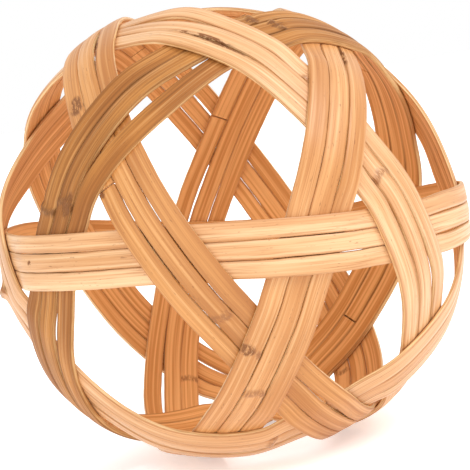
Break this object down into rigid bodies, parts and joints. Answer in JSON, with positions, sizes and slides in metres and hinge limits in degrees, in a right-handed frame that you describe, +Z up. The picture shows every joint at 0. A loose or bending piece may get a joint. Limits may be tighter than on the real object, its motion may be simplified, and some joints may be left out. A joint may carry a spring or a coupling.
{
  "type": "woven bamboo decorative ball",
  "caption": "Open-work decorative ball woven from flat split-bamboo strips, with hoops passing over and under each other around pentagonal openings; small flats on the underside keep it still.",
  "frame": {"origin": "on the surface the ball stands on, under the middle of its bounding box", "axes": "+Z up through the open five-sided hole at the top, -Y is the front, +X to the right seen from the front"},
  "size_m": [0.1216, 0.118, 0.116],
  "materials": {
    "bamboo_skin": "satin, skin side of the cane outwards",
    "bamboo_inner": "matt, planed inner side of the cane outwards, a little darker"
  },
  "bodies": {
    "root": {"girdle_lower": "bamboo_skin", "girdle_middle": "bamboo_skin", "girdle_upper": "bamboo_skin", "hoop_right_lower": "bamboo_skin", "hoop_right_middle": "bamboo_skin", "hoop_right_upper": "bamboo_skin", "hoop_left_lower": "bamboo_skin", "hoop_left_middle": "bamboo_skin", "hoop_left_upper": "bamboo_skin", "hoop_back_right_lower": "bamboo_skin", "hoop_back_right_middle": "bamboo_skin", "hoop_back_right_upper": "bamboo_skin", "hoop_back_left_lower": "bamboo_inner", "hoop_back_left_middle": "bamboo_inner", "hoop_back_left_upper": "bamboo_inner", "hoop_front_lower": "bamboo_skin", "hoop_front_middle": "bamboo_skin", "hoop_front_upper": "bamboo_skin"}
  },
  "joints": []
}
